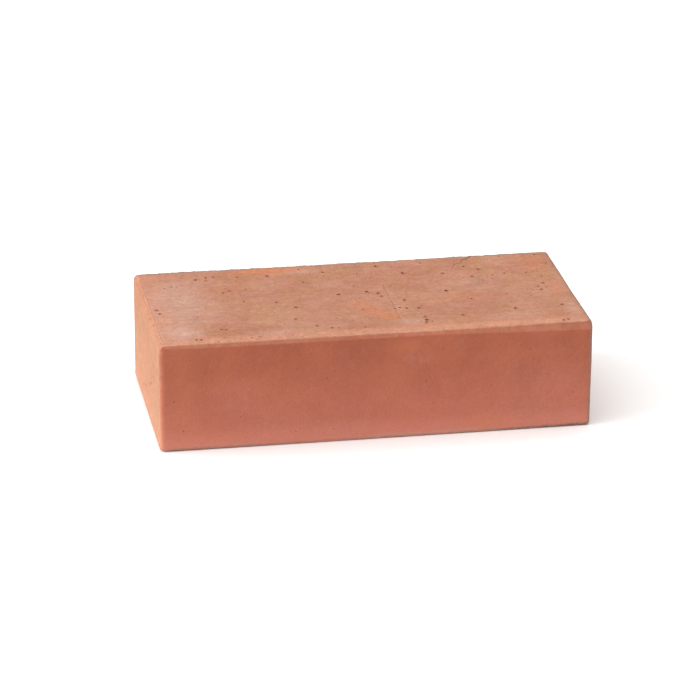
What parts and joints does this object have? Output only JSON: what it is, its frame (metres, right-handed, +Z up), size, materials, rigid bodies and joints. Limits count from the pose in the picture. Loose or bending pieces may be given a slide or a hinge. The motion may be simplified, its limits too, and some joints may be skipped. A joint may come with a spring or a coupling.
{
  "type": "solid clay brick",
  "caption": "Solid rectangular fired-clay brick with flat bed faces, rounded upright corners and struck top arrises.",
  "frame": {"origin": "middle of the lower bed face, on the surface that the brick stands on", "axes": "+X along the length, towards the right header; +Y from the front stretcher to the back stretcher; +Z up, from the lower bed to the upper bed"},
  "size_m": [0.25, 0.12, 0.065],
  "materials": {
    "fired_clay": "matte"
  },
  "bodies": {
    "root": {"brick_body": "fired_clay"}
  },
  "joints": []
}
